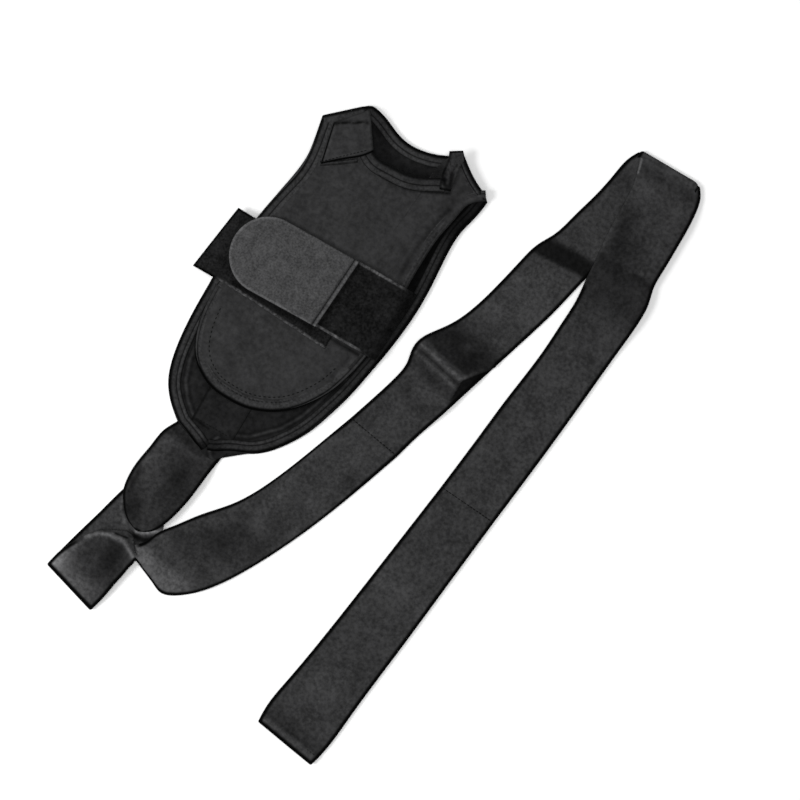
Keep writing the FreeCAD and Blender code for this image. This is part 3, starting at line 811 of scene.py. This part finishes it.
def band(name, low_x, high_x, count):
    """A length of the cuff band between two slanting ends."""
    low = np.column_stack([np.linspace(*low_x, count), np.full(count, CUFF_LOW)])
    high = np.column_stack([np.linspace(*high_x, count), np.full(count, CUFF_HIGH)])
    plan = ladder(low, high, 80).transpose(1, 0, 2)
    x, y = plan[..., 0], plan[..., 1]
    # painted highlights along both edges of the band, fading out to the right; painted shade where it bends
    # down over the front panel's edge and just past the tab's end beneath it
    band_highlight_reach = 1 - rise(x - 6 * rise(y, 0, 20), 49, 57)
    rims = rise(y, 27.9, 28.9) + (1 - rise(y, -32.2, -31.2))
    tone = 3.35 * band_highlight_reach * rims * (0.85 + 0.2 * ripple(x, y, 11, 44))
    tone = tone - 0.8 * rise(x, 60, 66) + 0.35 * ripple(x, y, 12, 43) + 0.2 * ripple(x, y, 5, 45)
    tone = tone - 1.4 * bell(x - tab_welt(y), 6.0, 1.6)
    z = arch(x, SLEEVE_TOP + 2.6) + 0.35 * ripple(x, y, 24, 41) - 7.4 * rise(x, 60, 73)
    return shell(name, lift(plan, z), 1.8, CUFF, tone=tone, radius=0.9)


def make_band():
    near = band("cuff_band_tab_end", (9.5, 42), (14.0, 42), 60)
    place(near, None, "cuff_cloth")
    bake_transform(near)
    far = band("cuff_band", (40.5, 68.0), (40.5, 70.5), 60)
    place(far, None, "cuff_cloth", "cuff_band", "cuff_anchor")
    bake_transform(far)


# ---- long strap ----
STRAP_THICK = 2.3
PRESSED = 1.3                                      # thickness at the top fold
FOLD_LOW = 0.75                                    # mid-heights of the two layers there
FOLD_HIGH = 2 * FOLD_HINGE[2] - FOLD_LOW
COLUMNS = 56


def across():
    """Places across the strap, -1 at its left edge and 1 at its right."""
    return (2 * spread(COLUMNS) - 1)[None, :]


def between(left, right, count):
    """A grid of plan points between a strap's two smooth edges, and its x and y."""
    plan = ladder(chain([left], count), chain([right], count), COLUMNS)
    return plan, plan[..., 0], plan[..., 1]


def strap(name, plan, z, tone, dark=DARK_SIDES, pressed=0.0):
    """A length of strap over a plan grid, a little crowned and uneven, and flat where it is pressed."""
    x, y = plan[..., 0], plan[..., 1]
    s = across()
    tone = tone + 0.10 * ripple(x, y, 12, 50) + 0.08 * ripple(x, y, 5, 52)
    thickness = STRAP_THICK - (STRAP_THICK - PRESSED) * pressed
    z = z + (1 - 0.9 * pressed) * (0.6 * (1 - s ** 2) + 0.3 * ripple(x, y, 45, 51) * (1 - s ** 4))
    z = np.maximum(z, thickness / 2)
    return shell(name, lift(plan, z), thickness, WEBBING, radius=2.0, tone=tone, dark=dark, ends=False)


def make_pleat():
    left = [(-46, -152), (-51.2, -162.3), (-55.5, -170.4), (-58.6, -188), (-61.5, -206), (-61.8, -220),
            (-59.4, -232), (-54, -241), (-47.5, -248.5), (-40, -253), (-34, -255)]
    right = [(-2, -152), (-2.3, -165), (-4.2, -178), (-7.8, -208), (-12, -228), (-17, -241.5), (-23, -250),
             (-32, -255)]
    plan, x, y = between(left, right, 130)
    s = across()
    t = np.linspace(0, 1, 130)[:, None]
    z = 1.4 + 5.2 * rise(t, 0.14, 0.42) - 3.0 * rise(t, 0.72, 1.0)
    z = z + 2.8 * (1 - s ** 2) * rise(t, 0.12, 0.4) * (1 - rise(t, 0.8, 1.0))
    # painted highlights on the pleat's rounded left side and just under the sleeve's tip, painted shade in
    # its hollows and under the tip, slightly darker overall; its lower end gets painted shade
    tone = -0.45 + painted(
        x, y,
        (0.75, (-50, -190), (16, 8), 80), (0.55, [(-50, -177), (-12, -178)], 3.5),
        (0.45, (-42, -215), (11, 14)), (0.4, [(-57, -186), (-54, -206)], 2.5),
        (-1.0, (-24, -202), (10, 17)), (-0.9, [(-56, -210), (-54, -230)], 2.5),
        (-1.4, (-47, -241), (10, 11), -20), (0.1, (-30, -235), (5, 12), 25),
        (-0.9, [(-48, -166), (-20, -173)], 4.5), (0.6, (-15.5, -178), (2.2, 1.6)),
        (0.25, [(-37, -228), (-31, -249)], 2.0))
    return strap("strap_pleat", plan, z, tone, dark=(1, 1, 0, 0.9))


def make_under():
    west = [(-56, -218), (-60.5, -230.7), (-67.5, -255.7), (-75.8, -284.5), (-84, -316)]
    east = [(-17, -226), (-16, -240), (-14.5, -247.5), (-18, -258), (-22, -271), (-25.5, -286),
            (-29, -301), (-33.5, -331)]
    plan, x, y = between(west, east, 120)
    strip_line = [(-33, -256), (-26, -252.5), (-14, -244)]
    z = 1.3 + 1.6 * near_line(x, y, strip_line, 2.6)
    # painted highlight on the raised strip, painted shadow in the gap beneath it, and painted highlight and
    # shade lines beside the pleat's end
    tone = 0.1 + painted(
        x, y, (2.3, strip_line, 1.7), (-3.5, [(-33, -260), (-24, -259.5), (-12, -249)], 2.2),
        (0.8, [(-57.5, -236), (-54, -246), (-46, -254)], 1.8),
        (-1.2, [(-57, -234), (-51, -246), (-42, -252)], 1.2))
    dark_right = 1 - rise(y[:, :1], -252, -244)
    return strap("strap_under", plan, z, tone, dark=(1, dark_right, 0, 0))


TURN_WEST = [(-84, -316), (-79, -298.5), (-73, -287), (-65, -275), (-55.5, -266.5), (-46, -262), (-38, -259),
             (-33.5, -261.5), (-32, -266.5), (-25.5, -263), (-17.5, -248.5), (-8, -235.5), (5, -218.5),
             (24.5, -196), (44.8, -160.2), (65.6, -107.5), (74, -85)]
TURN_EAST = [(-33.3, -331.3), (-29.2, -316.3), (-26.5, -301.4), (-24.2, -290.5), (-22.9, -283.4),
             (-22, -279.3), (-21.8, -277.5), (-21, -277.2), (-18, -278), (-8.5, -282.7), (0.6, -286.8),
             (8.5, -290), (24, -284.5), (45.4, -263.8), (65.9, -231.9), (92, -178.3), (123.6, -93.5)]
TURN_STATIONS = [0, 0.5, 1.5, 4, 6.5, 8, 9.5, 11, 12.5, 14, 16]          # places between those points
TURN_HEIGHTS = [3.4, 4.6, 6.4, 7.2, 6.6, 5.4, 3.8, 3.4, 2.4, 1.5, 1.4]


def paired(points, stations):
    """Points of a smooth curve at fractional places between its control points."""
    curve = spline(points, 1200)
    at = [int(np.argmin(np.linalg.norm(curve - np.array(p), axis=1))) for p in points]
    where = np.interp(stations, np.arange(len(points)), at)
    return np.column_stack([np.interp(where, np.arange(1200), curve[:, i]) for i in range(2)])


def make_turn():
    stations = np.concatenate([np.linspace(0, 12, 230), np.linspace(12, 16, 170)[1:]])
    plan = ladder(paired(TURN_WEST, stations), paired(TURN_EAST, stations), COLUMNS)
    x, y = plan[..., 0], plan[..., 1]
    s = across()
    st = stations[:, None]
    base = np.interp(st, TURN_STATIONS, TURN_HEIGHTS)
    z = base + 1.3 * bell(st, 7.3, 1.3) * np.sin(s * 7 + 0.6) * (1 - s ** 2)
    z = z + 3.2 * side_of(x, y, (-22, -279), (40, -284), 0, 22) * bell(st, 10.8, 2.2)
    z = z + painted(x, y, (-1.5, [(-48, -266), (-36, -264)], 2.0),
                    (0.8, [(-66, -280), (-50, -269), (-36, -268)], 2.6))
    ridge = [(-67, -280), (-60, -273), (-50, -268.5), (-38, -268), (-31, -272), (-25, -275.5)]
    corner = 1 - rise(st, 7.5, 8.5)
    into = side_of(x, y, (-34.5, -331), (-83, -316.5), -27, -4)
    # painted highlights where the strap rolls towards the low fold and along its ridge, painted shade in the
    # hollows beside them; beyond the corner, a painted highlight along the curled lower edge and broad
    # painted shade patches
    tone = corner * (1.3 * into * (1 - 0.25 * rise(x, -60, -35)) - 0.25 + painted(
        x, y,
        (1.3, [(-81, -314), (-71, -288)], 6.0), (2.1, ridge, 2.1),
        (0.9, [(-56, -266), (-40, -260.5)], 1.8), (-3.0, [(-47, -265.8), (-37, -264.2)], 1.2),
        (-1.7, (-40, -286), (9, 14), 5), (-0.4, (-55, -285), (8, 6), 20)))
    bottom = side_of(x, y, (35, -274), (-22, -264), -6, 4)
    tone = tone + (1 - corner) * (
        1.2 * bottom * (1 - rise(x, 18, 42)) + 0.12 * rise(y, -205, -170)
        + 0.2 * ripple(x * 0.5 - y * 0.1, y * 0.5 + x * 0.1, 9, 75)
        + painted(x, y, (-1.05, (33, -228), (28, 14), 38), (0.25, (6, -246), (6, 4), 20),
                  (-0.25, [(60, -228), (100, -130)], 6)))
    dark_left = np.maximum(rise(st, 8.3, 9.0), 0.35 * (1 - rise(st, 7, 8)))
    dark_left = np.maximum(dark_left, 1 - rise(st, 1.5, 3.0))
    return strap("strap_turn", plan, z, tone, dark=(dark_left, 1, 1, 0))


def fold_strip(name, a, b, outward, low, high, tone, mark, round_end=0.0, thick=STRAP_THICK):
    """The round of a fold between two layers of strap, at mid-heights low and high.

    a and b are its ends in plan, and mark is how much painted shade its outermost line gets.
    """
    a, b, out = np.array(a, float), np.array(b, float), np.array(outward, float)
    out = out / np.linalg.norm(out)
    middle, radius = (low + high) / 2, (high - low) / 2
    rows, s, reach = 21, spread(COLUMNS), 4.0
    grid = np.zeros((rows, COLUMNS, 3))
    dim = np.zeros((rows, COLUMNS))
    for i, t in enumerate(np.linspace(0, 1, rows)):
        angle = np.clip((t - 0.25) / 0.5, 0, 1) * math.pi
        inside = -reach * (1 - t / 0.25) if t < 0.25 else -reach * (t - 0.75) / 0.25 if t > 0.75 else 0
        back = round_end * (rise(s, 0.88, 1.0) ** 1.5 + 0.5 * rise(-s, -0.05, 0.0) ** 1.5)
        p = a + (b - a) * s[:, None] + out * (inside - back[:, None] + radius * (math.sin(angle) - 1))
        grid[i, :, :2] = p
        grid[i, :, 2] = middle - radius * math.cos(angle)
        dim[i] = -mark * 3 * math.sin(angle) ** 2
    return shell(name, grid, thick, WEBBING, radius=2.0, ends=False, tone=tone + dim, dark=DARK_SIDES)


def make_root():
    fold = fold_strip("strap_low_fold", TURN_WEST[0], TURN_EAST[0], (-0.289, -0.957), 1.3, 3.6, 1.2, 2.4)
    root = joined("strap_root_length", [make_pleat(), make_under(), make_turn(), fold])
    place(root, "sleeve", "strap_webbing", "strap_root_length")
    line = spline([(75.5, -85.3), (122.5, -93.3)], 60)
    thread = stitch_row("strap_lower_seam_thread", lift(line, np.full(60, 3.3)), 2.6, 3.4, 0.4)
    place(thread, "sleeve", "thread", "strap_lower_seam_thread")


MIDDLE_WEST = [(74, -85), (83.3, -57), (89.6, -36), (91.5, -22), (89.5, -9), (91.0, 0.4), (97.9, 11.9),
               (107.8, 26), (116, 43.4), (125.2, 74.4), (131.3, 100.4), (136.8, 118.5), (143.9, 131.4),
               (150.9, 153.5), (157.6, 177), (162.6, 201), (167, 219.3), (171, 226.5)]
MIDDLE_EAST = [(123.6, -93.5), (129.6, -72), (137.7, -48), (145, -25), (152, -3), (159.5, 20),
               (168.2, 47.5), (176.4, 75), (185, 111), (197, 150), (209, 185), (219, 212), (226, 226)]


def make_middle():
    plan, x, y = between(MIDDLE_WEST, MIDDLE_EAST, 340)
    along = y + 0.214 * (x - 93) + 2
    inside = 1 - rise(x, 134, 139)
    side = side_of(x, y, (137, -34), (137, -12), 0, -1.5) * side_of(x, y, (137, -12), (151, 6), 0, -1.5)
    side = side * rise(y, -42, -22)
    z = 1.4 + 4.6 * rise(along, -64, -10) * (1 - rise(along, 2, 40))
    z = z + inside * (1.5 * bell(along, 0.5, 2.2) + 0.8 * bell(along, -8, 1.7)
                      - 0.8 * bell(along, -5.5, 1.5)) - 2.6 * side
    z = z - 0.9 * bell(y - 0.02 * (x - 165), 120, 7)
    pressed = rise(y, 190, 222)
    z = z * (1 - pressed) + FOLD_LOW * pressed
    # painted highlights on the crest and a second ridge, painted shade in the valley between them, on the
    # slope behind the crest, in the crease higher up and on the folded-under right part, plus broad lighter
    # and darker patches
    gap = 1 - 0.35 * rise(x, 108, 120) * (1 - rise(x, 124, 132))
    valley = bell(along, -4.4, 1.5) * rise(x, 95, 101)
    tone = inside * (1.15 * bell(along, -0.2, 1.3) * gap - 1.2 * valley
                     + 0.6 * bell(along, -8.2, 1.4) - 0.55 * bell(along, -15, 4.5)) - 3.0 * side
    behind = rise(along, 2.5, 7) * (1 - rise(along, 24, 44))
    crease = rise(y - 0.05 * (x - 150), 109, 114) * (1 - rise(y, 124, 131))
    tone = tone - 1.9 * behind * (0.8 + 0.2 * ripple(x, y, 14, 83)) - 2.5 * crease
    tone = tone + 0.3 * rise(y, 40, 52) * (1 - rise(y, 95, 110)) + painted(
        x, y,
        (-0.7, (103, -42), (6, 9)), (0.25, (115, -36), (8, 8)), (-0.35, (124, -48), (8, 6)),
        (-0.4, (112, -23), (10, 4), -12), (0.9, [(136, -12), (150, 5)], 1.1),
        (-0.5, (140, 3), (7, 3), 35), (-0.25, (172, 197), (8, 7)))
    piece = strap("strap_middle_lower", plan, z, tone, pressed=pressed)
    place(piece, "sleeve", "strap_webbing", "strap_middle_lower")


LEG_WEST = [(172, 226), (176, 217), (179.5, 205), (181.5, 175), (182.5, 150), (184.5, 130), (185.5, 114),
            (187.3, 95), (186.5, 70), (185.1, 46), (182, 19), (178.5, -6), (174.6, -40), (167.8, -97)]
LEG_EAST = [(229.6, 226.4), (234, 220), (236.7, 211), (237.9, 200), (238.3, 175), (237.9, 150),
            (238.2, 134), (241.2, 120), (241.8, 106), (239.4, 75), (236.5, 45), (233.8, 16),
            (229.6, -25), (220.6, -101)]
END_WEST = [(167.8, -97), (158.4, -165), (148.8, -232.5), (137, -303), (133.2, -328), (133.4, -342)]
END_EAST = [(220.6, -101), (213.2, -167), (205.5, -235), (197.7, -303), (192.2, -343), (189.8, -351.5)]


def make_leg():
    plan, x, y = between(LEG_WEST, LEG_EAST, 330)
    over = 1 - side_of(x, y, (185, 111), (226, 226), -3, 6)
    z = 2.4 + 3.4 * rise(y, 60, 118) + 1.0 * bell(y, 100, 18) - 0.7 * bell(y, 134, 5)
    pressed = rise(y, 185, 222)
    z = z * (1 - pressed) + FOLD_HIGH * pressed
    # a darker band across the leg, painted shade and light patches, and a painted highlight along its left
    # edge next to the top fold; its edges get painted shade, the left one only below where it lies on the
    # strap beneath
    under_fold = rise(y, 84, 108) * (1 - rise(y, 134, 142))
    tone = 0.15 * (1 - rise(y, 40, 90)) - 0.75 * under_fold - 0.12 * over
    tone = tone + painted(
        x, y,
        (-1.0, (192, 160), (8, 26), 8), (-0.65, (205, 148), (14, 20)), (0.35, (190, 199), (13, 10)),
        (0.15, (222, 185), (9, 26)), (-0.45, [(182, 216), (234, 215)], 5.0),
        (-0.5, [(218, 135), (237, 133)], 3.5), (0.45, [(213, 136), (225, 139)], 1.4),
        (0.35, [(183, 165), (184, 138)], 2.0), (-0.6, [(186, 138), (190, 132)], 2.2),
        (1.7, [(174.5, 227), (176.5, 221), (179, 211)], 0.9))
    dark_left = 1 - rise(y[:, :1], 104, 113)
    upper = strap("strap_middle_upper", plan, z, tone, dark=(dark_left, 1, 0, 0), pressed=pressed)
    place(upper, "strap_leg", "strap_webbing", "strap_middle_upper")


def make_end():
    plan, x, y = between(END_WEST, END_EAST, 260)
    from_end = y + 346.5 + (x - 161) * 0.17
    z = 2.4 + 0.8 * (1 - rise(from_end, 7.5, 9.5)) - 0.4 * bell(from_end, 13, 4)
    z = z * (1 - 0.25 * (1 - roll(from_end, 3.0)))
    # painted highlight on the raised hem at the end, painted shade just past it, and broad lighter and
    # darker patches
    tone = (0.4 * (1 - rise(from_end, 6.0, 8.5)) - 0.45 * bell(from_end, 9.8, 1.6)
            - 0.6 * bell(from_end, 14, 6))
    tone = tone + painted(
        x, y,
        (0.5, (137.5, -340), (2.5, 2.5)), (0.35, (175, -190), (9, 60), 82),
        (-0.2, (158, -240), (10, 50), 80), (0.25, (165, -290), (14, 16)))
    end = strap("strap_end_length", plan, z, tone, dark=(1, 1, 0, 1))
    place(end, "strap_leg", "strap_webbing", "strap_end_length", "strap_end_hem")
    for name, a, b, height in (("strap_upper_seam_thread", (169.5, -97.3), (219.3, -101.2), 4.3),
                               ("strap_hem_thread", (135, -335), (190.5, -343.5), 4.0)):
        line = spline([a, b], 60)
        thread = stitch_row(name, lift(line, np.full(60, height)), 2.4, 3.2, 0.36)
        place(thread, "strap_leg", "thread", name)
    plan = ladder(chain([[(139, -322), (147, -272)]], 40), chain([[(188, -332), (196, -280)]], 40), 30)
    hooks = shell("strap_hook_patch", lift(plan, np.full(plan.shape[:2], 0.7)), HOOK_THICK, HOOKS,
                  radius=0.8, dark=DARK_SIDES)
    place(hooks, "strap_leg", "hook_tape", "strap_hook_patch")


def make_top_fold():
    fold = fold_strip("strap_top_fold", (172.0, 228.3), (229.8, 227.9), (0, 1), FOLD_LOW, FOLD_HIGH,
                      0.1, 0.25, round_end=2.6, thick=PRESSED + 0.15)
    hinge = [value * MM for value in FOLD_HINGE]
    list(hinge[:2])
    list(hinge[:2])
    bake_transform(fold)


# ---- stage and light ----
def plain(name, colour):
    """A matt material of one colour."""
    material = bpy.data.materials.new(name)
    material.use_nodes = True
    shader = material.node_tree.nodes["Principled BSDF"]
    shader.inputs["Base Color"].default_value = (*colour, 1)
    shader.inputs["Roughness"].default_value = 0.95
    shader.inputs["Specular IOR Level"].default_value = 0.0
    return material


def make_stage():
    reach, level = 4000, -0.3
    corners = [(x * reach, y * reach, level) for x, y in ((-1, -1), (1, -1), (1, 1), (-1, 1))]
    paper = plain("floor_paper", (0.93, 0.93, 0.93))
    floor = make_mesh("floor", corners, [[0, 1, 2, 3]], paper, smooth=False)


def lamp(name, location, size, power):
    """A round soft light pointed at the object's middle."""
    data = bpy.data.lights.new(name, "AREA")
    data.shape = "DISK"
    data.size = size
    data.energy = power
    light = bpy.data.objects.new(name, data)
    bpy.context.scene.collection.objects.link(light)
    light.location = location
    away = Vector(location) - Vector((VIEW_CENTRE[0] * MM, VIEW_CENTRE[1] * MM, 0))
    light.rotation_euler = away.to_track_quat("Z", "Y").to_euler()


def make_light():
    bpy.context.scene.view_settings.view_transform = "Standard"
    world = bpy.data.worlds.new("studio")
    world.use_nodes = True
    world.node_tree.nodes["Background"].inputs["Color"].default_value = (1, 1, 1, 1)
    world.node_tree.nodes["Background"].inputs["Strength"].default_value = 0.35
    bpy.context.scene.world = world
    lamp("key", (-1.2, -1.0, 1.6), 0.9, 30)
    lamp("top", (0.15, 0.05, 2.8), 1.2, 38)


make_back()
make_front()
make_back_bindings()
make_side_binding()
make_front_bindings()
make_shoulder()
make_loop_strap()
make_tab()
make_band()
make_root()
make_middle()
make_leg()
make_end()
make_top_fold()
make_stage()
make_light()
